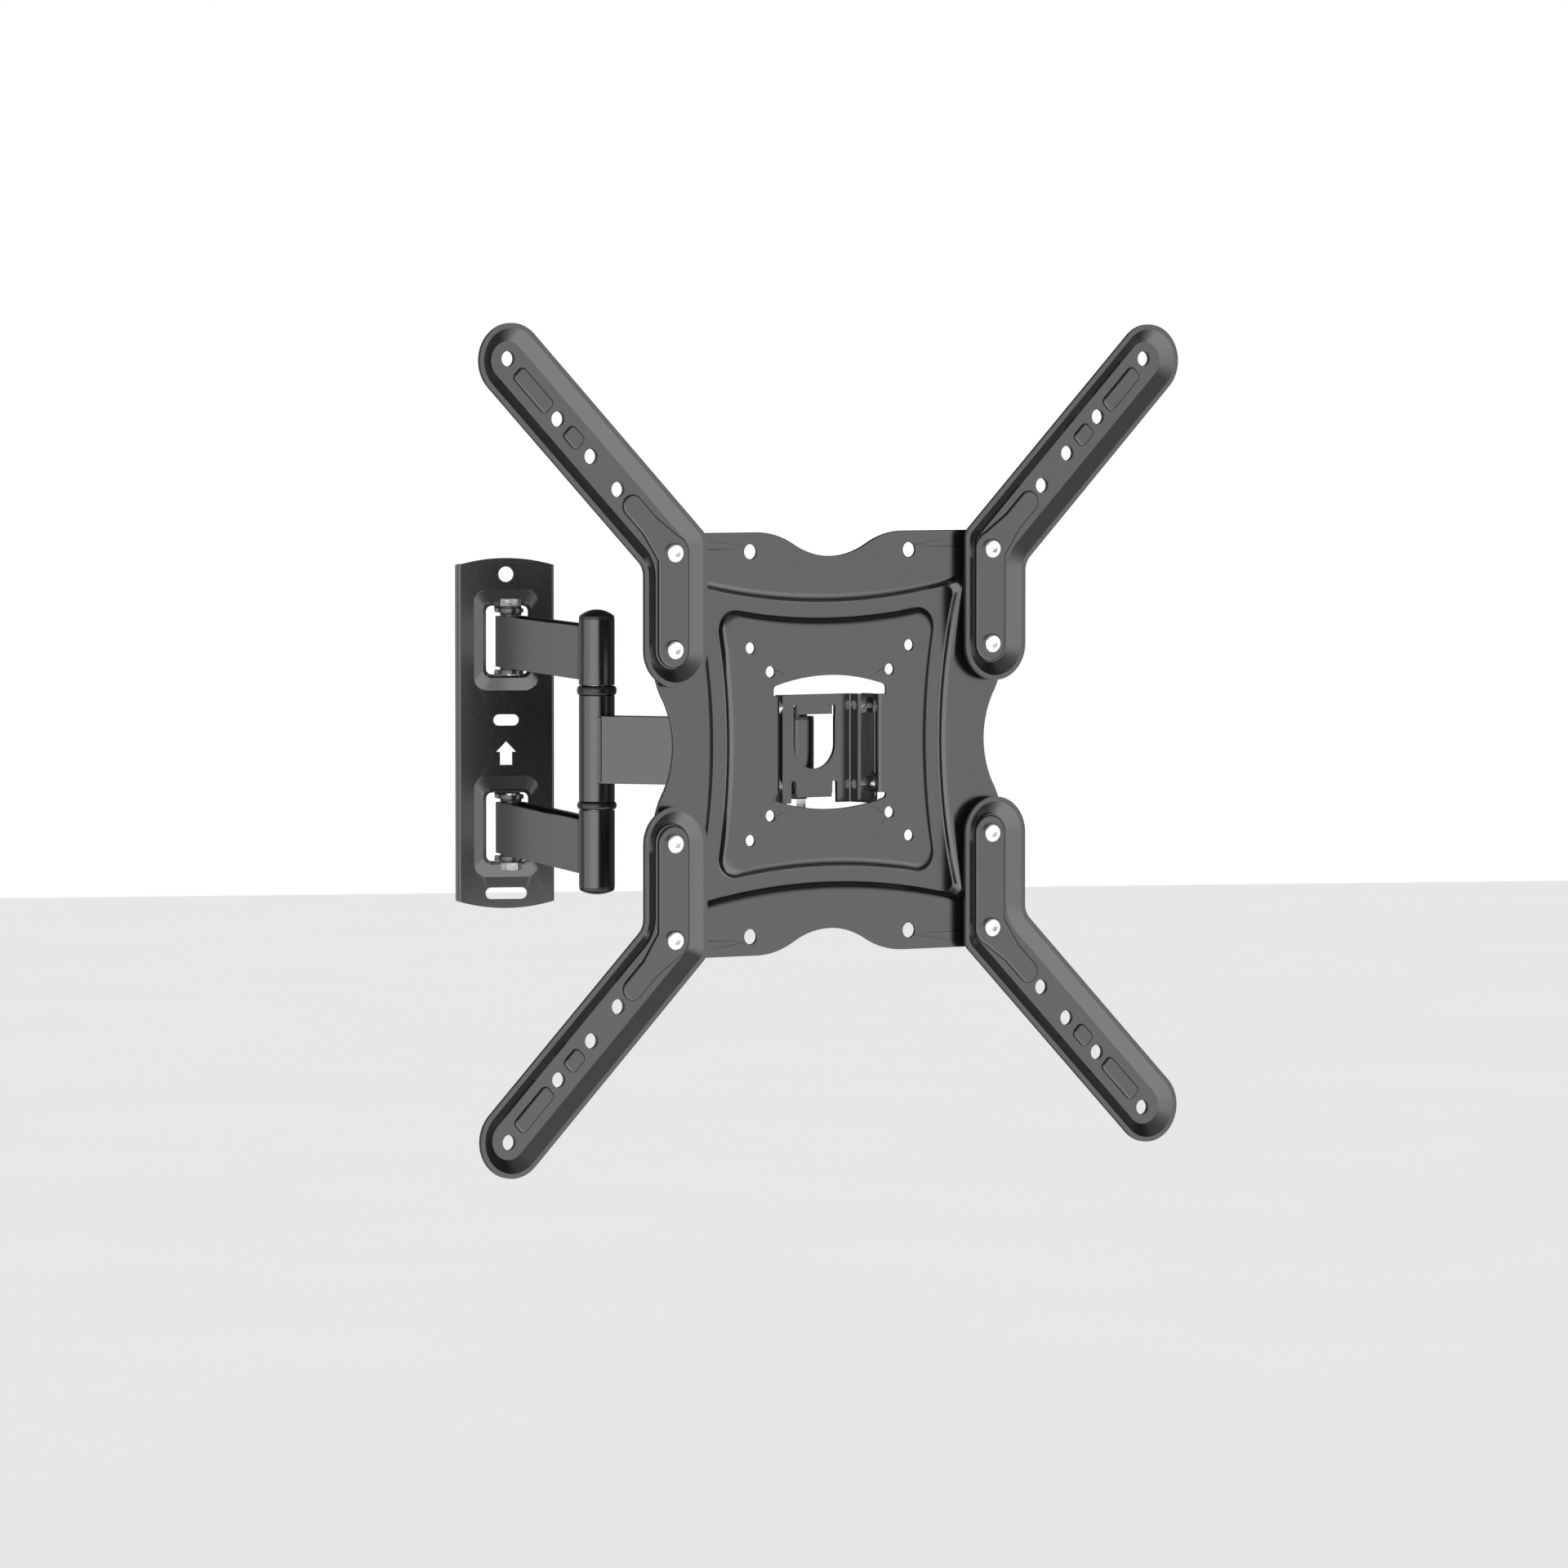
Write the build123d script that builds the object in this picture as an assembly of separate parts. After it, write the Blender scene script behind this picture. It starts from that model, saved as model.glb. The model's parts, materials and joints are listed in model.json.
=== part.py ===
from build123d import *
import os
from math import sin, cos, radians, sqrt

# Full-motion television wall mount, millimetres, +Z up, the wall plate faces -Y.
# The origin is the upper wall screw hole, on the back of the wall plate's sheet.

# ---- driving dimensions -------------------------------------------------
SHEET = 2.0            # wall plate, head bracket and screen plate sheet
ARM_WALL = 2.5         # strip thickness of the swing arms
# wall plate
WP_W = 54.0
WP_H = 194.0
WP_DEPTH = 10.0        # wall to the plate's front face
WP_SAG = 3.9           # rise of the arched top and bottom edges
FRAME_W = 36.0         # raised frame round each arm window, at its foot
FRAME_H = 56.0
FRAME_RISE = 3.5
WIN_W = 23.6
WIN_H = 38.0
PIVOT_OUT = 16.0       # shoulder axis in front of the plate's front face
EAR_W = 14.0
EAR_T = 2.2
EAR_IN = 15.9          # arm centre to the ear's inner face
# swing arms and elbow
ARM_Z = 51.4           # height of the wall arms above and below the centre
WALL_ARM_H = 28.0
WALL_ARM_HALF = 8.5
L1 = 213.5             # shoulder to elbow
FRONT_ARM_H = 35.5
FRONT_ARM_HALF = 8.0
FRONT_Z = 0.6
L2 = 113.0             # elbow to head swivel
TUBE_R = 9.5
TUBE_IN = 7.6
AXLE_R = 6.0
RUN = 0.05             # running clearance on every pin
# head
HEAD_OUT = 32.5        # swivel axis to the screen plate's front face
PLATE_Z = 7.2          # screen plate centre above the arm centreline
TILT_W = -12.0         # tilt axis, measured from the plate's front face
TILT_V = 18.5
LOCK_V = -23.0
TILT_UP = 7.0
TILT_DOWN = 6.0
# screen plate
SP = 220.0
MOAT = 4.0             # depth of the pressed channel
PRESS_HEAD = 4.6       # rounding where the sheet turns down into a pressed wall
PRESS_FOOT = 1.0       # rounding where it turns level again
PRESS_SLOPE = 72.0     # the wall's steepest slope
# extension arms
EXT_T = 2.6
EXT_RIM = 6.8          # rim height above the plate's front face
EXT_HALF = 19.2
PAD_UP = 1.4
PAD_ROUND = 1.1        # rounded edge of the raised pads
# rest pose, degrees about +Z from the wall normal
A_SHOULDER = 3.0
A_FRONT = 57.7
A_HEAD = 22.9

TOP_HOLE = 88.0        # upper wall screw hole above the plate's centre
MID_Z = -TOP_HOLE      # height of the plate's and the arms' centre in the row frame
P1 = (0.0, -SHEET - PIVOT_OUT)
P2 = (P1[0] + L1 * sin(radians(A_SHOULDER)), P1[1] - L1 * cos(radians(A_SHOULDER)))
P3 = (P2[0] + L2 * sin(radians(A_FRONT)), P2[1] - L2 * cos(radians(A_FRONT)))
WALL = Location((0, -SHEET, MID_Z)) * Location((0, 0, 0), (90, 0, 0))
ARM = Location((P1[0], P1[1], MID_Z), (0, 0, A_SHOULDER))
FORE = Location((P2[0], P2[1], MID_Z), (0, 0, A_FRONT))
HEAD = Location((P3[0], P3[1], MID_Z), (0, 0, A_HEAD))
SCREEN = HEAD * Location((0, -HEAD_OUT, PLATE_Z)) * Location((0, 0, 0), (90, 0, 0))

os.makedirs("parts", exist_ok=True)


# ---- helpers --------------------------------------------------------------
def save(name, where, *pieces):
    placed = []
    for piece in pieces:
        for solid in piece.solids():
            placed.append(where * solid)
    if len(placed) == 1:
        shape = placed[0]
    else:
        shape = Compound(children=placed)
    shape.label = name
    export_step(shape, "parts/" + name + ".step")


def rod(r, z0, z1, x=0.0, y=0.0):
    """Round bar along Z from z0 to z1."""
    return Pos(x, y, (z0 + z1) / 2) * Cylinder(r, abs(z1 - z0))


def hexbar(across_flats, z0, z1, x=0.0, y=0.0):
    flat = RegularPolygon(across_flats / sqrt(3), 6)
    return Pos(x, y, min(z0, z1)) * extrude(flat, abs(z1 - z0))


def slab(x0, x1, y0, y1, z0, z1):
    return Pos((x0 + x1) / 2, (y0 + y1) / 2, (z0 + z1) / 2) * Box(x1 - x0, y1 - y0, z1 - z0)


def prism(face, z0, z1):
    """Face lying in XY, pushed from z0 to z1."""
    return extrude(Pos(0, 0, z0) * face, z1 - z0, dir=(0, 0, 1))


def frustum(low, high, z0, z1):
    """Straight-sided solid between two outlines with matching edges."""
    return loft([Pos(0, 0, z0) * low, Pos(0, 0, z1) * high], ruled=True)


def chamfered_hex(across_flats, z0, z1, point):
    """Hex head or nut with its corners turned down at the end facing point."""
    body = hexbar(across_flats, z0, z1)
    r = across_flats / 2
    tall = z1 - z0
    if point > 0:
        cone = Pos(0, 0, z0 + tall / 2) * Cone(r * 1.02 + tall * 1.7, r * 1.02, tall)
    else:
        cone = Pos(0, 0, z0 + tall / 2) * Cone(r * 1.02, r * 1.02 + tall * 1.7, tall)
    return body & cone


# ---- wall plate -----------------------------------------------------------
def arched(width, height, sag):
    hw = width / 2
    hh = height / 2
    top = ThreePointArc((-hw, hh - sag), (0, hh), (hw, hh - sag))
    right = Line((hw, hh - sag), (hw, -hh + sag))
    bottom = ThreePointArc((hw, -hh + sag), (0, -hh), (-hw, -hh + sag))
    left = Line((-hw, -hh + sag), (-hw, hh - sag))
    return make_face([top, right, bottom, left])


def wall_plate():
    outer = RectangleRounded(WP_W, 2 * WP_DEPTH, 1.6)
    inner = RectangleRounded(WP_W - 2 * SHEET, 2 * (WP_DEPTH - SHEET), 0.5)
    # channel section in XZ: front face at z = 0, open towards the wall at z = -WP_DEPTH
    section = Pos(0, -WP_DEPTH) * (outer - inner)
    section = section & (Pos(0, -WP_DEPTH / 2) * Rectangle(WP_W, WP_DEPTH))
    channel = extrude(Plane.XZ * section, WP_H / 2, both=True)
    body = channel & prism(arched(WP_W, WP_H, WP_SAG), -WP_DEPTH, 1)
    for side in (1, -1):
        cy = side * (ARM_Z + 0.3)
        foot = Pos(0, cy) * RectangleRounded(FRAME_W, FRAME_H, 7.0)
        crown = Pos(0, cy) * RectangleRounded(WIN_W + 3.4, WIN_H + 4.0, 4.6)
        foot_in = Pos(0, cy) * RectangleRounded(FRAME_W - 1.6, FRAME_H - 1.6, 6.2)
        crown_in = Pos(0, cy) * RectangleRounded(WIN_W + 1.2, WIN_H + 1.8, 3.6)
        body = body + frustum(foot, crown, 0, FRAME_RISE)
        body = body - frustum(foot_in, crown_in, -SHEET, FRAME_RISE - SHEET)
        window = Pos(0, cy) * RectangleRounded(WIN_W, WIN_H, 3.2)
        body = body - prism(window, -SHEET - 1, FRAME_RISE + 1)
        for end in (1, -1):
            body = body + wall_ear(side * ARM_Z, end, end == side)
    # fixing holes, slots and the up arrow
    cuts = Pos(0, TOP_HOLE) * Circle(4.3)
    cuts = cuts + Pos(0, 7.3) * SlotOverall(14.4, 6.3)
    cuts = cuts + Pos(0, -88.8) * SlotOverall(23.4, 6.5)
    head = Polygon((0, -4.4), (5.7, -10.4), (-5.7, -10.4), align=None)
    stem = Pos(0, -13.6) * Rectangle(7.0, 8.0)
    cuts = cuts + head + stem
    return body - prism(cuts, -SHEET - 1, 1)


def wall_ear(zc, end, loose):
    """Ear bent forward from a window edge; end is +1 for the upper ear."""
    back = FRAME_RISE - SHEET
    a = EAR_IN
    b = EAR_IN + EAR_T
    # section in (forward, up): a leg in the frame and the ear itself
    tip = PIVOT_OUT + 7
    corners = [(back, a), (tip, a), (tip, b), (FRAME_RISE, b), (FRAME_RISE, a + 4.4), (back, a + 4.4)]
    leg = Polygon(*corners, align=None)
    bends = leg.vertices()
    leg = fillet(bends.filter_by(lambda v: abs(v.X - FRAME_RISE) < 0.01 and abs(v.Y - b) < 0.01), 1.5)
    leg = fillet(leg.vertices().filter_by(lambda v: abs(v.X - back) < 0.01 and abs(v.Y - a) < 0.01), 3.0)
    # (forward, up) plane -> local (z, y)
    plane = Plane(origin=(end * EAR_W / 2, zc, 0), x_dir=(0, 0, 1), z_dir=(-end, 0, 0))
    ear = extrude(plane * leg, EAR_W)
    nose = Pos(0, 0, PIVOT_OUT) * Rot(90, 0, 0) * Cylinder(EAR_W / 2, 400)
    root = slab(-EAR_W / 2, EAR_W / 2, zc - 60, zc + 60, -5, PIVOT_OUT)
    ear = ear & (nose + root)
    r = 3.2 if loose else 3.0 + 0.01
    hole = Pos(0, zc + end * (a + b) / 2, PIVOT_OUT) * Rot(90, 0, 0) * Cylinder(r, 8)
    return ear - hole


save("wall_plate", WALL, wall_plate())

# shoulder bolts, one from above and one from below
SHOULDER = Location((P1[0], P1[1], MID_Z))
bolts = []
washers = []
for side in (1, -1):
    up = rod(3.0, -EAR_IN - EAR_T - 0.6, EAR_IN + EAR_T + 1.4)
    up = up + chamfered_hex(10.0, EAR_IN + EAR_T + 1.4, EAR_IN + EAR_T + 5.4, 1)
    pads = [rod(5.9, EAR_IN + EAR_T, EAR_IN + EAR_T + 1.4) - rod(3.2, 0, 40)]
    for end in (1, -1):
        pad = rod(5.9, end * (EAR_IN - 1.6), end * EAR_IN) - rod(3.2, -40, 40)
        pads.append(pad)
    turn = Pos(0, 0, side * ARM_Z) * Rot(0 if side > 0 else 180, 0, 0)
    bolts.append(turn * up)
    for pad in pads:
        washers.append(turn * pad)
save("shoulder_bolts", SHOULDER, *bolts)
save("shoulder_washers", SHOULDER, *washers)


# ---- wall arms ------------------------------------------------------------
def hairpin(length, half, r_end, height, z):
    """Strip bent into a hairpin round the far end at the origin, welded to a tube at -Y."""
    outer = Circle(half) + Pos(0, -length / 2) * Rectangle(2 * half, length)
    gap = half - ARM_WALL
    inner = Circle(gap) + Pos(0, -length / 2) * Rectangle(2 * gap, length)
    shape = outer - inner - Pos(0, -length) * Circle(r_end)
    shape = shape & (Pos(0, -length / 2 + half) * Rectangle(4 * half, length))
    return prism(shape, z - height / 2, z + height / 2)


def wall_arm(zc):
    return hairpin(L1, WALL_ARM_HALF, TUBE_R, WALL_ARM_H, zc)


save("upper_wall_arm", ARM, wall_arm(ARM_Z))
save("lower_wall_arm", ARM, wall_arm(-ARM_Z))
bush = rod(WALL_ARM_HALF - ARM_WALL, -WALL_ARM_H / 2, WALL_ARM_H / 2) - rod(3.0 + RUN, -20, 20)
save("arm_pivot_bushes", ARM, Pos(0, 0, ARM_Z) * bush, Pos(0, 0, -ARM_Z) * bush)

# ---- elbow ----------------------------------------------------------------
TOP0 = 34.7
TOP1 = 69.7
MID0 = -26.9
MID1 = 29.2
LOW0 = -72.7
LOW1 = -31.6
ELBOW = ARM * Location((0, -L1, 0))


def tube(z0, z1):
    return rod(TUBE_R, z0, z1) - rod(TUBE_IN, z0 - 1, z1 + 1)


save("upper_elbow_tube", ELBOW, tube(TOP0, TOP1))
save("lower_elbow_tube", ELBOW, tube(LOW0, LOW1))
plug_top = rod(TUBE_IN, TOP0, TOP0 + 9) - rod(AXLE_R, 0, 80)
plug_low = rod(TUBE_IN, LOW1 - 9, LOW1) - rod(AXLE_R, -80, 0)
save("elbow_tube_plugs", ELBOW, plug_top, plug_low)
bolt = rod(AXLE_R, LOW1 - 9, TOP0 + 9) + rod(7.3, TOP0 + 9, TOP0 + 18) + rod(4.0, LOW1 - 21, LOW1 - 9)
bolt = bolt - hexbar(8.0, TOP0 + 12, TOP0 + 19)
save("elbow_bolt", ELBOW, bolt)
nut = chamfered_hex(13.0, LOW1 - 17.5, LOW1 - 9, -1) - rod(4.0, -80, 0)
save("elbow_nut", ELBOW, nut)


def dome(r, rim, rise):
    """Cap with a straight rim and a low round crown, standing on z = 0."""
    ball = (r * r + rise * rise) / (2 * rise)
    crown = rod(r, 0, rim + rise) & (Pos(0, 0, rim + rise - ball) * Sphere(ball))
    edge = crown.edges().filter_by(lambda e: abs(e.center().Z - rim) < 0.05)
    return fillet(edge, 0.9 * rim)


cap = Pos(0, 0, TOP1) * dome(9.4, 1.4, 3.6)
cap = cap + rod(TUBE_IN - 0.02, TOP1 - 8, TOP1)
save("elbow_top_cap", ELBOW, cap)
foot = Pos(0, 0, LOW0) * Rot(180, 0, 0) * dome(9.3, 1.4, 2.2)
foot = foot + rod(TUBE_IN - 0.02, LOW0, LOW0 + 8)
save("elbow_bottom_cap", ELBOW, foot)

# middle tube and its flanged bushes turn with the front arm
save("middle_elbow_tube", FORE, tube(MID0, MID1))


def elbow_bush(z_in, z_out, depth):
    """Flange between the tubes with a rounded rim, and a sleeve inside the middle tube."""
    low = min(z_in, z_out)
    high = max(z_in, z_out)
    flange = fillet(rod(10.5, low, high).edges(), min(2.0, (high - low) / 2 - 0.1))
    sleeve = rod(TUBE_IN, z_in, z_in - depth)
    return flange + sleeve - rod(AXLE_R + RUN, -90, 90)


save("upper_elbow_bush", FORE, elbow_bush(MID1, TOP0 - 0.3, 16))
save("lower_elbow_bush", FORE, elbow_bush(MID0, LOW1 + 0.3, -16))

# ---- front arm ------------------------------------------------------------
BARREL_R = 9.5


def front_arm():
    gap = FRONT_ARM_HALF - ARM_WALL
    far = Pos(0, -L2)
    outer = Pos(0, -L2 / 2) * Rectangle(2 * FRONT_ARM_HALF, L2)
    inner = Pos(0, -L2 / 2) * Rectangle(2 * gap, L2)
    shape = (outer - inner) + far * Circle(BARREL_R)
    shape = shape - Circle(TUBE_R) - far * Circle(BARREL_R - 3.0)
    return prism(shape, FRONT_Z - FRONT_ARM_H / 2, FRONT_Z + FRONT_ARM_H / 2)


save("front_arm", FORE, front_arm())
SWIVEL = FORE * Location((0, -L2, FRONT_Z))
HALF = FRONT_ARM_H / 2
for name, end in (("upper_swivel_bush", 1), ("lower_swivel_bush", -1)):
    piece = rod(9.4, end * HALF, end * (HALF + 1.4)) + rod(BARREL_R - 3.0, end * (HALF - 12), end * HALF)
    save(name, SWIVEL, piece - rod(3.0 + RUN, -60, 60))

# ---- swivel head bracket ----------------------------------------------------
# local axes of the screen plate: X across, Y up, Z out towards the screen
FACE = -15.0
LIP = -8.0
BR_HALF = 24.8
BR_TOP = 24.6
BR_LOW = -32.3
TAB_GAP = 20.75        # arm centre to each tab's inner face
ARM_V = FRONT_Z - PLATE_Z
TAB_HALF = 11.0


def bracket():
    r_out = 3.0
    outer = RectangleRounded(2 * BR_HALF, 2 * (LIP - FACE + SHEET), r_out)
    inner = RectangleRounded(2 * (BR_HALF - SHEET), 2 * (LIP - FACE), r_out - SHEET)
    ring = Pos(0, LIP) * (outer - inner)
    deep = LIP - FACE + SHEET
    ring = ring & (Pos(0, LIP - deep / 2) * Rectangle(2 * BR_HALF, deep))
    # section drawn in (x, z); pushed along Y
    body = extrude(Plane.XZ * ring, -(BR_TOP - BR_LOW) / 2, both=True)
    body = Pos(0, (BR_TOP + BR_LOW) / 2, 0) * body
    # D-shaped cut-out whose flap is the upper tab
    top = ARM_V + TAB_GAP
    dee = Pos(0, -1.5) * Circle(13.0) + Pos(0, (top - 1.5) / 2) * Rectangle(26.0, top + 1.5)
    body = body - prism(dee, FACE - 4, FACE + 1)
    for x in (-1, 1):
        notch = Pos(x * 12.2, top + 1.6) * SlotOverall(6.6, 2.0, rotation=90)
        body = body - prism(notch, FACE - 4, FACE + 1)
    # lower cut-out leaves the bottom tab between two relief notches
    low = ARM_V - TAB_GAP
    gate = Pos(0, low - 10) * Rectangle(2 * TAB_HALF + 7, 20)
    body = body - prism(gate, FACE - 4, FACE + 1)
    for x in (-1, 1):
        notch = Pos(x * (TAB_HALF + 1.9), low + 2.2) * SlotOverall(9, 3.0, rotation=90)
        body = body - prism(notch, FACE - 4, FACE + 1)
    # tabs running back over and under the front arm's end
    nose = -HEAD_OUT
    heel = FACE - SHEET
    plan = Pos(0, (nose + heel) / 2) * Rectangle(2 * TAB_HALF, heel - nose) + Pos(0, nose) * Circle(TAB_HALF)
    plan = plan - Pos(0, nose) * Circle(3.2)
    for end in (1, -1):
        level = ARM_V + end * TAB_GAP
        flat = Plane.XZ.offset(-level) * plan
        tab = extrude(flat, -end * SHEET)
        under = min(level, level + end * SHEET)
        root = slab(-TAB_HALF, TAB_HALF, under, under + SHEET, heel - 0.01, FACE)
        body = body + tab + root
    # tilt and lock bolt holes in both ears
    for v in (TILT_V, LOCK_V):
        body = body - Pos(0, v, TILT_W) * Rot(0, 90, 0) * Cylinder(2.5, 120)
    return body


save("swivel_bracket", SCREEN, bracket())

# swivel bolt, head above the upper tab and nut under the lower one
SWIVEL_H = HEAD * Location((0, 0, FRONT_Z))
TAB_OUT = TAB_GAP + SHEET
pin = rod(3.0, -TAB_OUT - 7.6, TAB_OUT + 1.4) + chamfered_hex(10.0, TAB_OUT + 1.4, TAB_OUT + 5.4, 1)
save("swivel_bolt", SWIVEL_H, pin)
save("swivel_nut", SWIVEL_H, chamfered_hex(10.0, -TAB_OUT - 6.4, -TAB_OUT - 1.4, -1) - rod(3.0, -90, 0))
rings = []
for side in (1, -1):
    for z0, z1 in ((TAB_OUT, TAB_OUT + 1.4), (HALF + 1.7, TAB_GAP)):
        rings.append(rod(6.0, side * z0, side * z1) - rod(3.0, -60, 60))
save("swivel_washers", SWIVEL_H, *rings)

# ---- tilt hardware ----------------------------------------------------------
EAR_U = 31.0           # inner face of the screen plate's ears
bolts = []
nuts = []
rings = []
for side in (1, -1):
    for v in (TILT_V, LOCK_V):
        place = Pos(0, v, TILT_W) * Rot(0, 90 * side, 0)
        shaft = rod(2.5, BR_HALF - SHEET + 0.3, EAR_U + SHEET + 1.3)
        shaft = shaft + chamfered_hex(8.0, EAR_U + SHEET + 1.3, EAR_U + SHEET + 4.9, 1)
        bolts.append(place * shaft)
        nuts.append(place * (chamfered_hex(8.0, BR_HALF, BR_HALF + 4.0, 1) - rod(2.5, 0, 60)))
        ring = rod(4.6, EAR_U + SHEET + 0.3, EAR_U + SHEET + 1.3) - rod(2.5, 0, 60)
        rings.append(place * ring)
save("tilt_bolts", SCREEN, *bolts)
save("tilt_nuts", SCREEN, *nuts)
save("tilt_washers", SCREEN, *rings)


# ---- screen plate -----------------------------------------------------------
def pillow(hw, hh, cu, cv, r):
    """Four-cornered outline with inward-bowed sides and rounded corners."""
    top = ThreePointArc((-cu, cv), (0, hh), (cu, cv))
    right = ThreePointArc((cu, cv), (hw, 0), (cu, -cv))
    bottom = ThreePointArc((cu, -cv), (0, -hh), (-cu, -cv))
    left = ThreePointArc((-cu, -cv), (-hw, 0), (-cu, cv))
    face = make_face([top, right, bottom, left])
    return fillet(face.vertices(), r)


def plate_outline():
    h = SP / 2
    edges = []
    for k in range(4):
        # one side: straight, shoulder, valley, shoulder; the sides are slightly shallower
        if k % 2 == 0:
            a, b, mid, knee, low = 46.0, 23.0, 34.5, 103.6, 97.2
            lift = 108.45
        else:
            a, b, mid, knee, low = 45.0, 23.0, 34.0, 103.4, 97.9
            lift = 108.3
        side = [
            Line((-h, h), (-a, h)),
            ThreePointArc((-a, h), (-mid, lift), (-b, knee)),
            ThreePointArc((-b, knee), (0, low), (b, knee)),
            ThreePointArc((b, knee), (mid, lift), (a, h)),
            Line((a, h), (h, h)),
        ]
        for edge in side:
            edges.append(edge.rotate(Axis.Z, -90 * k))
    face = make_face(edges)
    corners = face.vertices().filter_by(lambda v: abs(abs(v.X) - h) < 0.01 and abs(abs(v.Y) - h) < 0.01)
    return fillet(corners, 8.0)


def window_face():
    lens = make_face([
        ThreePointArc((-35.5, 29.6), (0, 35.1), (35.5, 29.6)),
        Line((35.5, 29.6), (35.5, -29.4)),
        ThreePointArc((35.5, -29.4), (0, -34.9), (-35.5, -29.4)),
        Line((-35.5, -29.4), (-35.5, 29.6)),
    ])
    lens = fillet(lens.vertices(), 2.4)
    return lens


EAR_V0 = -27.0
EAR_V1 = 24.6
TAIL_V = -33.0


def plate_ear(side):
    """Ear bent back from the window's side edge, with the tilt hole and the arc slot."""
    r = 2.5
    x0 = EAR_U
    deep = -22.0
    mid = (EAR_V0 + EAR_V1) / 2
    tall = EAR_V1 - EAR_V0
    # bend section in (x, z)
    outer = make_face([
        Line((36.0, 0), (x0 + r, 0)),
        ThreePointArc((x0 + r, 0), (x0 + r * (1 - sqrt(0.5)), -r * (1 - sqrt(0.5))), (x0, -r)),
        Line((x0, -r), (x0, deep)),
        Line((x0, deep), (x0 + SHEET, deep)),
        Line((x0 + SHEET, deep), (x0 + SHEET, -SHEET - 0.5)),
        Line((x0 + SHEET, -SHEET - 0.5), (x0 + SHEET + 0.5, -SHEET)),
        Line((x0 + SHEET + 0.5, -SHEET), (36.0, -SHEET)),
        Line((36.0, -SHEET), (36.0, 0)),
    ])
    ear = extrude(Plane.XZ.offset(-EAR_V0) * outer, -tall)
    # rounded rear corners
    side_view = Plane.YZ.offset(-60) * (Pos(mid, 0) * RectangleRounded(tall, -2 * deep, 6))
    keep = extrude(side_view, 120)
    ear = ear & keep
    # the ear reaches lower than its bend
    tail = slab(x0, x0 + SHEET, TAIL_V, EAR_V0 + 8, -20.5, -4.5)
    corners = tail.edges().filter_by(Axis.X).filter_by(lambda e: e.center().Y < EAR_V0)
    ear = ear + fillet(corners, 4.0)
    # pivot hole and lock slot centred on the tilt axis
    ear = ear - Pos(0, TILT_V, TILT_W) * Rot(0, 90, 0) * Cylinder(2.5 + RUN, 120)
    reach = TILT_V - LOCK_V
    slot = ring_slot(reach, -TILT_UP - 0.6, TILT_DOWN + 0.6, 2.65)
    ear = ear - Pos(0, TILT_V, TILT_W) * slot
    # shallow stiffening rib along the front of the ear
    rib = slab(x0 - 0.6, x0 + 0.5, -15.5, 21.0, -5.6, -4.0)
    rib = rib + slab(x0 - 0.6, x0 + 0.5, -17.0, -15.5, -9.6, -4.0)
    ear = ear + rib
    if side < 0:
        ear = mirror(ear, about=Plane.YZ)
    return ear


def ring_slot(radius, a0, a1, r):
    """Arc slot about X through the origin, angles from straight down, positive towards +Z."""
    path = CenterArc((0, 0), radius, 180 - a1, a1 - a0)
    return extrude(Plane.YZ.offset(-60) * SlotArc(path, 2 * r), 120)


# sideways offset of the back of a pressed wall that keeps the sheet's thickness
SKIN = SHEET * (1 - cos(radians(PRESS_SLOPE))) / sin(radians(PRESS_SLOPE))


def outer_wall(inset, grow):
    """Outline of the channel's outer wall, a given way down its slope."""
    step = 1.1 * inset - grow
    return pillow(76.0 - inset + grow, 78.0 - inset + grow, 88.0 - step, 88.0 - step, 3.0 + 0.4 * inset)


def inner_wall(inset, grow):
    """Outline of the inner panel, a given way down its wall."""
    corner = 8.0 + 0.4 * inset
    return pillow(58.0 + inset + grow, 60.0 + inset + grow, 65.5 + inset + grow, 67.0 + inset + grow, corner)


def slope_profile():
    """Pairs of sideways run and depth down a wall: wide rounding, straight, tight rounding."""
    steep = radians(PRESS_SLOPE)
    bend = 1 - cos(steep)
    straight = (MOAT - (PRESS_HEAD + PRESS_FOOT) * bend) / sin(steep)
    run = (PRESS_HEAD + PRESS_FOOT) * sin(steep) + straight * cos(steep)
    head = []
    for k in range(7):
        a = steep * k / 6
        head.append((PRESS_HEAD * sin(a), PRESS_HEAD * (1 - cos(a))))
    foot = []
    for k in (3, 2, 1, 0):
        a = steep * k / 3
        foot.append((run - PRESS_FOOT * sin(a), MOAT - PRESS_FOOT * (1 - cos(a))))
    return head + foot


def pressed(outline, grow, z):
    """Solid inside a pressed wall, from its head at height z to its foot."""
    sections = []
    for run, depth in slope_profile():
        sections.append(Pos(0, 0, z - depth) * outline(run, grow))
    return loft(sections, ruled=True)


def screen_plate():
    body = prism(plate_outline(), -SHEET, 0)
    # pressed channel: back skin first, then the channel itself, leaving the inner panel
    skin = pressed(outer_wall, SKIN, -SHEET) - pressed(inner_wall, -SKIN, -SHEET)
    well = pressed(outer_wall, 0, 0) - pressed(inner_wall, 0, 0)
    body = body + skin - well
    # window and its ears
    body = body - prism(window_face(), -SHEET - 1, 1)
    for side in (1, -1):
        body = body + plate_ear(side)
    holes = []
    for u in (-1, 1):
        for v in (-1, 1):
            holes.append(Pos(u * 37.5, v * 37.5) * Circle(3.0))
            holes.append(Pos(u * 50, v * 50) * Circle(3.0))
            holes.append(Pos(u * 50, v * 100) * Circle(4.0))
            holes.append(Pos(u * 100, v * 50) * Circle(3.0))
            holes.append(Pos(u * 100, v * 100) * Circle(3.0))
    for hole in holes:
        body = body - prism(hole, -SHEET - 5, 1)
    return body


save("screen_plate", SCREEN, screen_plate())


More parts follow.
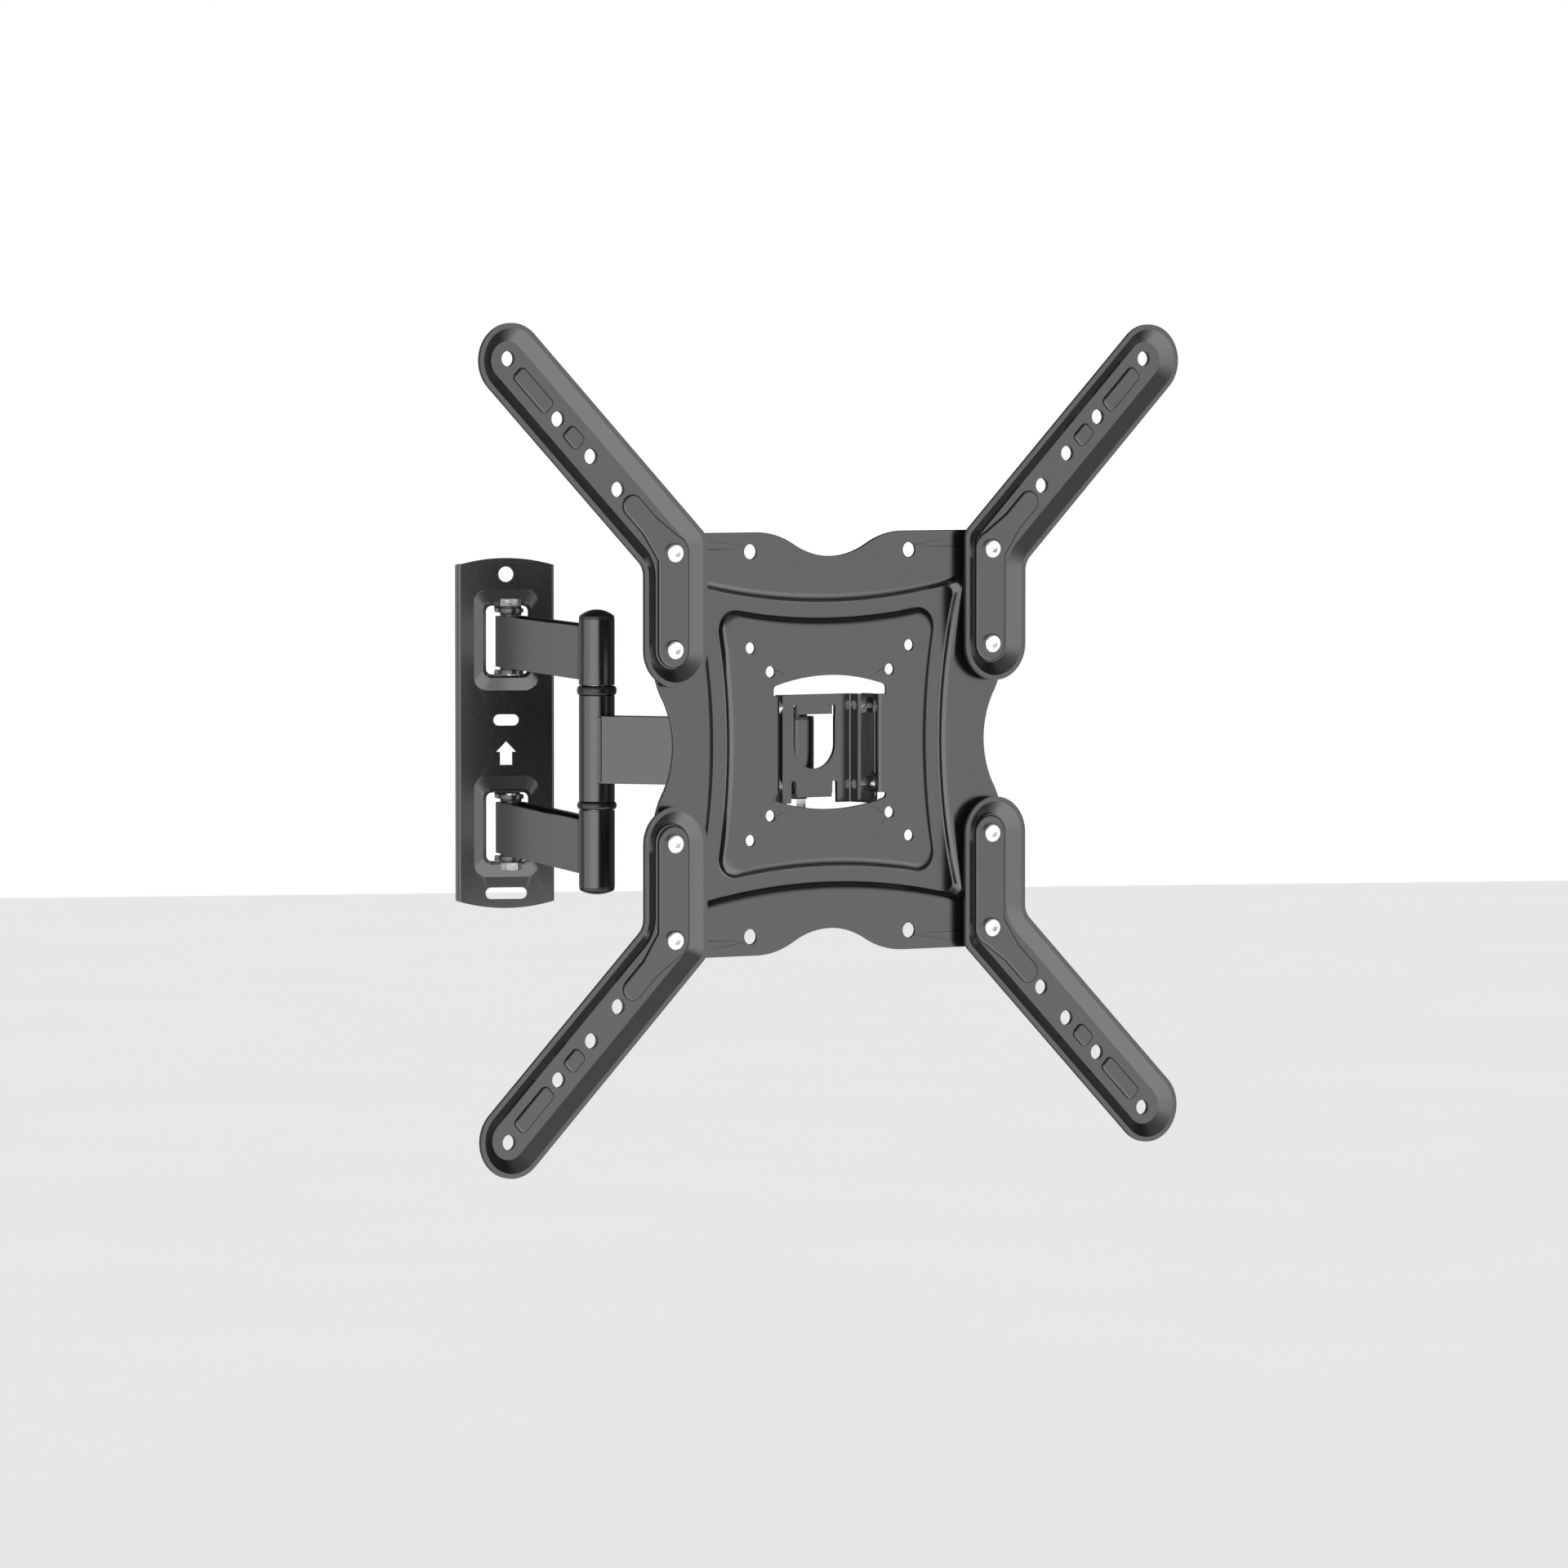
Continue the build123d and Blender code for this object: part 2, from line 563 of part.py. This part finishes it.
# ---- extension arms -----------------------------------------------------------
EXT_U = 100.7          # centreline of the upright part
EXT_V0 = 50.0          # centre of the lower round end
FAR = (200.4, 199.0)   # centre of the far round end
SLOPE = 44.6           # lean of the slanting part


def ext_outline(half, r_in, r_out):
    """Bent arm outline of the given half width; r_in on the outer bend, r_out on the inner one."""
    a = radians(SLOPE)
    dx, dy = cos(a), sin(a)
    nx, ny = sin(a), -cos(a)
    # far round end
    left_far = (FAR[0] - nx * half, FAR[1] - ny * half)
    right_far = (FAR[0] + nx * half, FAR[1] + ny * half)
    tip = (FAR[0] + dx * half, FAR[1] + dy * half)
    # bends: slanting sides meet the upright sides
    xl = EXT_U - half
    xr = EXT_U + half
    tl = (left_far[0] - xl) / dx
    tr = (right_far[0] - xr) / dx
    bend_l = (xl, left_far[1] - tl * dy)
    bend_r = (xr, right_far[1] - tr * dy)
    face = make_face([
        Line((xl, EXT_V0), bend_l),
        Line(bend_l, left_far),
        ThreePointArc(left_far, tip, right_far),
        Line(right_far, bend_r),
        Line(bend_r, (xr, EXT_V0)),
        ThreePointArc((xr, EXT_V0), (EXT_U, EXT_V0 - half), (xl, EXT_V0)),
    ])
    vl = face.vertices().sort_by_distance((bend_l[0], bend_l[1], 0))[0]
    face = fillet(vl, r_out)
    vr = face.vertices().sort_by_distance((bend_r[0], bend_r[1], 0))[0]
    return fillet(vr, r_in)


def pad_faces(grow):
    """Raised screw pad: upright stadium, funnel round the bend, short slanting tongue."""
    a = radians(SLOPE)
    dx, dy = cos(a), sin(a)
    r = 9.4 + grow
    t = 6.0 + grow
    start = (FAR[0] - 106.3 * dx, FAR[1] - 106.3 * dy)
    upright = Pos(99.8, 75.0) * SlotCenterToCenter(50, 2 * r, rotation=90)
    mid = (FAR[0] - 121.0 * dx, FAR[1] - 121.0 * dy)
    nx, ny = sin(a), -cos(a)
    deep = (FAR[0] - 127.0 * dx, FAR[1] - 127.0 * dy)
    tongue = Pos((start[0] + deep[0]) / 2, (start[1] + deep[1]) / 2)
    tongue = tongue * SlotCenterToCenter(20.7, 2 * t, rotation=SLOPE)
    funnel = Polygon(
        (99.8 - r, 92),
        (99.8 - r, 101),
        (99.8 - r + 5, 108 + grow),
        (mid[0] - nx * t, mid[1] - ny * t),
        (mid[0] + nx * t, mid[1] + ny * t),
        (99.8 + r, 96 - grow),
        (99.8 + r, 92),
        align=None,
    )
    return [upright, funnel, tongue]


def ext_arm():
    # pressed dish: floor on the plate, sloping wall and a narrow flat rim
    skin = frustum(ext_outline(10.8, 22.0, 4.0), ext_outline(18.6, 11.0, 7.5), 0, EXT_RIM - 2.0)
    rim = prism(ext_outline(EXT_HALF, 10.0, 8.0), EXT_RIM - 2.0, EXT_RIM)
    well = frustum(ext_outline(9.9, 22.0, 4.0), ext_outline(16.7, 12.0, 7.0), EXT_T, EXT_RIM)
    arm = skin + rim - well
    return arm


def ext_features(arm):
    a = radians(SLOPE)
    dx, dy = cos(a), sin(a)
    # raised pads: pushed up from behind by the same amount
    bosses = pad_faces(0)
    hollows = pad_faces(-1.6)
    for mid, length in ((21.6, 27.5), (56.0, 11.6)):
        spot = Pos(FAR[0] - mid * dx, FAR[1] - mid * dy)
        bosses.append(spot * Rot(0, 0, SLOPE) * RectangleRounded(length, 8.8, 2.8))
        hollows.append(spot * Rot(0, 0, SLOPE) * RectangleRounded(length - 3, 5.8, 1.5))
    for face in bosses:
        boss = prism(face, EXT_T - 0.6, EXT_T + PAD_UP)
        rim = boss.faces().sort_by(Axis.Z)[-1].edges()
        arm = arm + fillet(rim, PAD_ROUND)
    for face in hollows:
        arm = arm - prism(face, -1, PAD_UP)
    for u, v in ((200, 200), (170, 169.2), (150, 150), (133.6, 133)):
        arm = arm - prism(Pos(u, v) * Circle(4.0), -5, 12)
    for v in (50, 100):
        arm = arm - prism(Pos(100, v) * Circle(3.2), -5, 12)
    return arm


base = ext_features(ext_arm())
flip_u = mirror(base, about=Plane.YZ)
save("ext_arm_top_right", SCREEN, base)
save("ext_arm_top_left", SCREEN, flip_u)
save("ext_arm_bottom_right", SCREEN, mirror(base, about=Plane.XZ))
save("ext_arm_bottom_left", SCREEN, mirror(flip_u, about=Plane.XZ))

# arm screws: button heads on the pads, nuts behind the plate
screws = []
nuts = []
TOP = EXT_T + PAD_UP
for u in (-100, 100):
    for v in (-100, -50, 50, 100):
        head = rod(5.2, TOP, TOP + 2.8)
        head = fillet(head.edges().sort_by(Axis.Z)[-1], 1.6)
        screw = head + rod(3.0, -8.2, TOP)
        screw = screw - hexbar(4.0, TOP + 0.9, TOP + 4)
        screws.append(Pos(u, v, 0) * screw)
        nuts.append(Pos(u, v, 0) * (chamfered_hex(10.0, -7.0, -SHEET, -1) - rod(3.0, -9, 0)))
save("arm_screws", SCREEN, *screws)
save("arm_nuts", SCREEN, *nuts)
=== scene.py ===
import json
import math

import bmesh
import bpy
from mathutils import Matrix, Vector

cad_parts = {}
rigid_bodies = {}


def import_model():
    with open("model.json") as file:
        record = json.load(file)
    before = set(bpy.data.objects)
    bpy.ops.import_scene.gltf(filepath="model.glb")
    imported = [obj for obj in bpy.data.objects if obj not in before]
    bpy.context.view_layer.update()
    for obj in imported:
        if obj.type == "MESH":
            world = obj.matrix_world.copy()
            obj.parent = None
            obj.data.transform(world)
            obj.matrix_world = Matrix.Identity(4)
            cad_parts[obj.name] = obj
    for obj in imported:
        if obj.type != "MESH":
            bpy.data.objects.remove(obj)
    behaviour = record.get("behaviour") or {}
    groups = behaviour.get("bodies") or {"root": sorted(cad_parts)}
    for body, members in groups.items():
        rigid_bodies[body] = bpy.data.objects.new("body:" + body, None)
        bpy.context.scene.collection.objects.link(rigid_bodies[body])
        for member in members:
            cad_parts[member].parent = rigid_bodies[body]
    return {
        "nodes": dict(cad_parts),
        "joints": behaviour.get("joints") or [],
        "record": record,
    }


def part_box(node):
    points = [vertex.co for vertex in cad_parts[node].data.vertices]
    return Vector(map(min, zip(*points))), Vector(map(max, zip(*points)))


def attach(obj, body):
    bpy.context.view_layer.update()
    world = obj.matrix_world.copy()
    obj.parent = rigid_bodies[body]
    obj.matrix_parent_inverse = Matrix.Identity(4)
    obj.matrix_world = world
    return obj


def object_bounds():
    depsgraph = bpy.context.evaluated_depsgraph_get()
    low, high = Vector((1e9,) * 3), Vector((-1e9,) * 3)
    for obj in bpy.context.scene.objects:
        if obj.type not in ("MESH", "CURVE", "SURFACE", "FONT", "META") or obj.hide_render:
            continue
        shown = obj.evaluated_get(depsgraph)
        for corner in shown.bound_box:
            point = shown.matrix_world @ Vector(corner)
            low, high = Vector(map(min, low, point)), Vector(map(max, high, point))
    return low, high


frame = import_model()
cad_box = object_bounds()

RECORD = frame["record"]
NODES = frame["nodes"]
MM = 0.001
UP = Vector((0, 0, 1))
WHITE = (1.0, 1.0, 1.0, 1)

# ---- places taken from the record -------------------------------------------
MOUNTS = {m["name"]: m for m in RECORD["mounts"]}
JOINTS = {j["name"]: j for j in frame["joints"]}
PLATE_CENTRE = Vector(MOUNTS["vesa_75"]["pos_m"])       # middle of the screen plate's sheet
PLATE_NORMAL = Vector(MOUNTS["vesa_75"]["axis"]).normalized()
SHOULDER = Vector(JOINTS["shoulder_swing"]["pos_m"])
ELBOW = Vector(JOINTS["elbow_fold"]["pos_m"])
SWIVEL = Vector(JOINTS["head_swivel"]["pos_m"])


def toward(azimuth, elevation):
    """Unit vector towards a direction in degrees; azimuth 0 is straight out from the wall."""
    a = math.radians(azimuth)
    e = math.radians(elevation)
    return Vector((math.sin(a) * math.cos(e), -math.cos(a) * math.cos(e), math.sin(e)))


# ---- camera: a long lens, almost level, a little to the left ------------------
CAMERA_AZIMUTH = -11.0
CAMERA_ELEVATION = 2.66
CAMERA_DISTANCE = 4.796
CAMERA_LENS = 210.9
CAMERA_NEAR = 0.1
CAMERA_FAR = 60
HALF_SHEET = 1.0 * MM          # from the middle of the screen plate's sheet to its face
AIM_LEFT = 24.29 * MM          # the view's centre, left of and below the plate's centre
AIM_DOWN = 21.84 * MM


def make_camera():
    back = toward(CAMERA_AZIMUTH, CAMERA_ELEVATION)
    right = UP.cross(back).normalized()
    up = back.cross(right)
    front_face = PLATE_CENTRE + PLATE_NORMAL * HALF_SHEET
    aim = front_face - right * AIM_LEFT - up * AIM_DOWN
    data = bpy.data.cameras.new("camera")
    data.lens = CAMERA_LENS
    data.clip_start = CAMERA_NEAR
    data.clip_end = CAMERA_FAR
    camera = bpy.data.objects.new("camera", data)
    camera.location = aim + back * CAMERA_DISTANCE
    camera.rotation_mode = "QUATERNION"
    camera.rotation_quaternion = back.to_track_quat("Z", "Y")
    bpy.context.scene.collection.objects.link(camera)
    bpy.context.scene.camera = camera


# ---- materials: noise scales are per metre, colours and roughness run low to high ----
PAINT_COLOURS = (0.0045, 0.0046, 0.0048, 1), (0.0062, 0.0063, 0.0065, 1)
PAINT_ROUGHNESS = 0.19, 0.25
PAINT_IOR = 1.8                # above a real coat's 1.5, to match how much the photo's surfaces mirror
ZINC_COLOURS = (0.62, 0.63, 0.64, 1), (0.80, 0.80, 0.78, 1)
ZINC_ROUGHNESS = 0.20, 0.36
NYLON_COLOURS = (0.008, 0.008, 0.009, 1), (0.011, 0.011, 0.012, 1)
NYLON_ROUGHNESS = 0.24, 0.34
FLOOR_COLOURS = (0.78, 0.78, 0.78, 1), (0.82, 0.82, 0.82, 1)
FLOOR_ROUGHNESS = 0.9


class Tree:
    """Short way to build a material's nodes."""

    def __init__(self, name):
        self.material = bpy.data.materials.new(name)
        self.material.use_nodes = True
        self.nodes = self.material.node_tree.nodes
        self.shader = self.nodes["Principled BSDF"]
        self.place = self.add("ShaderNodeTexCoord").outputs["Object"]

    def add(self, kind, **inputs):
        node = self.nodes.new(kind)
        for key, value in inputs.items():
            node.inputs[key].default_value = value
        return node

    def link(self, a, b):
        self.material.node_tree.links.new(a, b)

    def noise(self, scale, detail=2.0):
        node = self.add("ShaderNodeTexNoise", Scale=scale, Detail=detail, Roughness=0.5)
        self.link(self.place, node.inputs["Vector"])
        return node.outputs["Fac"]

    def span(self, value, ends, start, end):
        """Spread the value's range from start to end over the two ends."""
        node = self.nodes.new("ShaderNodeMapRange")
        node.inputs["From Min"].default_value = start
        node.inputs["From Max"].default_value = end
        node.inputs["To Min"].default_value = ends[0]
        node.inputs["To Max"].default_value = ends[1]
        self.link(value, node.inputs["Value"])
        return node.outputs["Result"]

    def colour(self, factor, colours):
        """Base colour between two colours."""
        node = self.nodes.new("ShaderNodeMix")
        node.data_type = "RGBA"
        self.link(factor, node.inputs["Factor"])
        node.inputs["A"].default_value = colours[0]
        node.inputs["B"].default_value = colours[1]
        self.link(node.outputs["Result"], self.shader.inputs["Base Color"])

    def bump(self, height, strength, distance, under=None):
        node = self.add("ShaderNodeBump", Strength=strength, Distance=distance)
        self.link(height, node.inputs["Height"])
        if under is not None:
            self.link(under, node.inputs["Normal"])
        return node.outputs["Normal"]


def black_paint():
    """Smooth gloss powder coat: orange peel with a finer grain on it, and faint mottling."""
    t = Tree("black_powder_coat")
    mottling = t.noise(45.0)
    grain = t.noise(1500.0)
    peel = t.noise(520.0)
    t.colour(t.span(mottling, (0.0, 1.0), 0.3, 0.7), PAINT_COLOURS)
    t.link(t.span(peel, PAINT_ROUGHNESS, 0.25, 0.75), t.shader.inputs["Roughness"])
    coarse = t.bump(peel, 0.05, 0.03 * MM)
    t.link(t.bump(grain, 0.04, 0.01 * MM, coarse), t.shader.inputs["Normal"])
    t.shader.inputs["IOR"].default_value = PAINT_IOR
    return t.material


def zinc_plate():
    """Bright zinc: cloudy patches and a fine grain."""
    t = Tree("bright_zinc")
    cloud = t.noise(260.0, 4.0)
    grain = t.noise(3000.0)
    t.colour(t.span(cloud, (0.0, 1.0), 0.35, 0.65), ZINC_COLOURS)
    t.link(t.span(cloud, ZINC_ROUGHNESS, 0.3, 0.7), t.shader.inputs["Roughness"])
    t.link(t.bump(grain, 0.15, 0.01 * MM), t.shader.inputs["Normal"])
    t.shader.inputs["Metallic"].default_value = 1.0
    return t.material


def black_nylon():
    """Moulded nylon: satin, with a fine spark-eroded grain."""
    t = Tree("black_nylon")
    grain = t.noise(2200.0, 3.0)
    mottling = t.noise(60.0)
    t.colour(t.span(mottling, (0.0, 1.0), 0.3, 0.7), NYLON_COLOURS)
    t.link(t.span(grain, NYLON_ROUGHNESS, 0.25, 0.75), t.shader.inputs["Roughness"])
    t.link(t.bump(grain, 0.12, 0.02 * MM), t.shader.inputs["Normal"])
    return t.material


MATERIALS = {"black_paint": black_paint(), "zinc_plate": zinc_plate(), "black_nylon": black_nylon()}


def paint_nodes():
    """Every CAD node takes the material of its slot in the record."""
    for part in RECORD["subparts"]:
        mesh = NODES[part["node"]].data
        mesh.materials.clear()
        mesh.materials.append(MATERIALS[part["material_slot"]])


# ---- edges ----------------------------------------------------------------------
MERGE_WITHIN = 0.002 * MM      # points closer than this become one
EDGE_ANGLE = 26.0              # degrees; edges sharper than this are rounded
EDGE_USUAL = 0.25 * MM
EDGES = {"screen_plate": 0.4 * MM, "wall_plate": 0.4 * MM, "swivel_bracket": 0.35 * MM}


def soften_edges():
    """A small rounded edge on every CAD node, so that edges catch the light."""
    for name, obj in NODES.items():
        weld = obj.modifiers.new("weld", "WELD")
        weld.merge_threshold = MERGE_WITHIN
        bevel = obj.modifiers.new("edge", "BEVEL")
        bevel.width = EDGES.get(name, EDGE_USUAL)
        bevel.segments = 2
        bevel.limit_method = "ANGLE"
        bevel.angle_limit = math.radians(EDGE_ANGLE)
        bevel.harden_normals = False
        normal = obj.modifiers.new("normal", "WEIGHTED_NORMAL")
        normal.keep_sharp = False
        for polygon in obj.data.polygons:
            polygon.use_smooth = True


# ---- welds ------------------------------------------------------------------------
BEAD_RADIUS = 1.15 * MM
BEAD_SUNK = 0.55 * MM           # how far the bead's middle lies below the arm's outer face
BEAD_RIPPLE = 1.7 * MM          # distance between two ripples
BEAD_SWELL = 0.10               # how much a ripple adds to the radius, as a share of it
BEAD_TIP = 0.15                 # share of the section that is left at the bead's two ends
BEAD_SIDES = 10
RINGS_PER_RIPPLE = 6
ARM_HALF = {"upper_wall_arm": 8.5 * MM, "lower_wall_arm": 8.5 * MM, "front_arm": 8.0 * MM}


def weld_bead(name, seam, low, high):
    """Rippled weld along a vertical seam, tapered at both ends."""
    bm = bmesh.new()
    count = round((high - low) / BEAD_RIPPLE * RINGS_PER_RIPPLE)
    rings = []
    for i in range(count + 1):
        z = low + (high - low) * i / count
        ripple = 1 + BEAD_SWELL * math.sin(2 * math.pi * (z - low) / BEAD_RIPPLE)
        to_end = min(z - low, high - z) / BEAD_RADIUS
        radius = BEAD_RADIUS * ripple * math.sqrt(min(1.0, BEAD_TIP + to_end))
        ring = []
        for k in range(BEAD_SIDES):
            a = 2 * math.pi * k / BEAD_SIDES
            ring.append(bm.verts.new((seam.x + radius * math.cos(a), seam.y + radius * math.sin(a), z)))
        rings.append(ring)
    for below, above in zip(rings, rings[1:]):
        for k in range(BEAD_SIDES):
            j = (k + 1) % BEAD_SIDES
            bm.faces.new((below[k], below[j], above[j], above[k]))
    bm.faces.new(rings[0][::-1])
    bm.faces.new(rings[-1])
    for face in bm.faces:
        face.smooth = True
    mesh = bpy.data.meshes.new(name)
    bm.to_mesh(mesh)
    bm.free()
    mesh.materials.append(MATERIALS["black_paint"])
    bead = bpy.data.objects.new(name, mesh)
    bpy.context.scene.collection.objects.link(bead)
    return bead


def make_welds():
    """Two beads where each arm's strips meet its elbow tube."""
    tube_low, tube_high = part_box("upper_elbow_tube")
    tube = (tube_high.x - tube_low.x) / 2
    fold = JOINTS["elbow_fold"]
    for arm, far_end, body in (
        ("upper_wall_arm", SHOULDER, fold["parent"]),
        ("lower_wall_arm", SHOULDER, fold["parent"]),
        ("front_arm", SWIVEL, fold["child"]),
    ):
        along = far_end - ELBOW
        along.z = 0
        along.normalize()
        across = UP.cross(along)
        reach = math.sqrt(tube ** 2 - ARM_HALF[arm] ** 2)
        low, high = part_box(arm)
        for side, end in ((1, "_a"), (-1, "_b")):
            seam = ELBOW + along * reach + across * side * (ARM_HALF[arm] - BEAD_SUNK)
            bead = weld_bead("weld_" + arm + end, seam, low.z, high.z)
            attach(bead, body)


# ---- stage ----------------------------------------------------------------------
FLOOR_HALF = 8.0               # half of the floor's side, in metres
FLOOR_DROP = 0.35              # how far it lies below the object, in metres
FLOOR_GLOW = 0.5               # makes the floor evenly pale


def make_stage():
    z = cad_box[0].z - FLOOR_DROP
    corners = [(x * FLOOR_HALF, y * FLOOR_HALF, z) for x, y in ((-1, -1), (1, -1), (1, 1), (-1, 1))]
    mesh = bpy.data.meshes.new("floor")
    mesh.from_pydata(corners, [], [(0, 1, 2, 3)])
    floor = bpy.data.objects.new("floor", mesh)
    bpy.context.scene.collection.objects.link(floor)
    t = Tree("floor")
    t.colour(t.noise(3.0), FLOOR_COLOURS)
    t.shader.inputs["Roughness"].default_value = FLOOR_ROUGHNESS
    t.shader.inputs["Emission Color"].default_value = WHITE
    t.shader.inputs["Emission Strength"].default_value = FLOOR_GLOW
    mesh.materials.append(t.material)
    floor.visible_glossy = False        # the paint mirrors the studio's own light from below


# ---- light ------------------------------------------------------------------------
# Strengths are in the background's own units. A light fades between two cosines of the
# angle from its middle, or between two heights, which are sines of the elevation.
DOME_AZIMUTH = -15.0           # the dome's bright side
DOME_FRONT = 1.66
DOME_BACK = 0.14
DOME_BRIGHT = 0.27             # cosines where the dome is fully bright and fully dark
DOME_DARK = -0.10
OVERHEAD_LEFT = 0.2            # share of the dome's strength that is left overhead
OVERHEAD_LOW = 0.10            # heights where the dome starts and stops fading
OVERHEAD_HIGH = 0.85
BELOW_POWER = 1.0
BELOW_FULL = -0.55             # heights where the light from below is full and gone
BELOW_GONE = -0.03
BELOW_BRIGHT = 0.05            # cosines from the dome's bright side, as for the dome
BELOW_DARK = -0.40
RIM_AZIMUTH = -150.0
RIM_WIDTH = 50.0               # degrees from the light's middle to its edge
RIM_CORE = 0.95                # cosine where it is fully bright
RIM_POWER = 0.30
KEY_AZIMUTH = -30.0
KEY_WIDTH = 38.0
KEY_CORE = 0.98
KEY_POWER = 0.85


def make_light():
    """A white studio, bright in front and at the left and dim behind and overhead.

    A key light at the front left, a weak rim light at the back left and a light from
    below, mostly in front, are added to it. The camera sees plain white instead."""
    world = bpy.data.worlds.new("studio")
    bpy.context.scene.world = world
    world.use_nodes = True
    nodes = world.node_tree.nodes
    links = world.node_tree.links

    def combine(operation, a, b):
        node = nodes.new("ShaderNodeMath")
        node.operation = operation
        links.new(a, node.inputs[0])
        links.new(b, node.inputs[1])
        return node.outputs[0]

    def ramp(value, start, end, low, high):
        node = nodes.new("ShaderNodeMapRange")
        node.interpolation_type = "SMOOTHSTEP"
        links.new(value, node.inputs["Value"])
        for key, number in (("From Min", start), ("From Max", end), ("To Min", low), ("To Max", high)):
            node.inputs[key].default_value = number
        return node.outputs["Result"]

    def facing(azimuth):
        """Cosine of the angle between the world direction and a level one, in degrees."""
        node = nodes.new("ShaderNodeVectorMath")
        node.operation = "DOT_PRODUCT"
        links.new(direction, node.inputs[0])
        node.inputs[1].default_value = toward(azimuth, 0.0)
        return node.outputs["Value"]

    def lamp(azimuth, width, core, power):
        return ramp(facing(azimuth), math.cos(math.radians(width)), core, 0.0, power)

    direction = nodes.new("ShaderNodeTexCoord").outputs["Generated"]
    split = nodes.new("ShaderNodeSeparateXYZ")
    links.new(direction, split.inputs[0])
    height = split.outputs["Z"]
    front = facing(DOME_AZIMUTH)
    dome = ramp(front, DOME_DARK, DOME_BRIGHT, DOME_BACK, DOME_FRONT)
    overhead = ramp(height, OVERHEAD_LOW, OVERHEAD_HIGH, 1.0, OVERHEAD_LEFT)
    key = lamp(KEY_AZIMUTH, KEY_WIDTH, KEY_CORE, KEY_POWER)
    rim = lamp(RIM_AZIMUTH, RIM_WIDTH, RIM_CORE, RIM_POWER)
    downward = ramp(height, BELOW_FULL, BELOW_GONE, BELOW_POWER, 0.0)
    below = combine("MULTIPLY", downward, ramp(front, BELOW_DARK, BELOW_BRIGHT, 0.0, 1.0))
    lamps = combine("ADD", combine("ADD", key, rim), below)
    strength = combine("ADD", combine("MULTIPLY", dome, overhead), lamps)
    lit = nodes["Background"]
    lit.inputs["Color"].default_value = WHITE
    links.new(strength, lit.inputs["Strength"])
    plain = nodes.new("ShaderNodeBackground")
    plain.inputs["Color"].default_value = WHITE
    seen = nodes.new("ShaderNodeLightPath").outputs["Is Camera Ray"]
    both = nodes.new("ShaderNodeMixShader")
    links.new(seen, both.inputs[0])
    links.new(lit.outputs[0], both.inputs[1])
    links.new(plain.outputs[0], both.inputs[2])
    links.new(both.outputs[0], nodes["World Output"].inputs["Surface"])
    bpy.context.scene.view_settings.view_transform = "Standard"


make_camera()
paint_nodes()
soften_edges()
make_welds()
make_stage()
make_light()
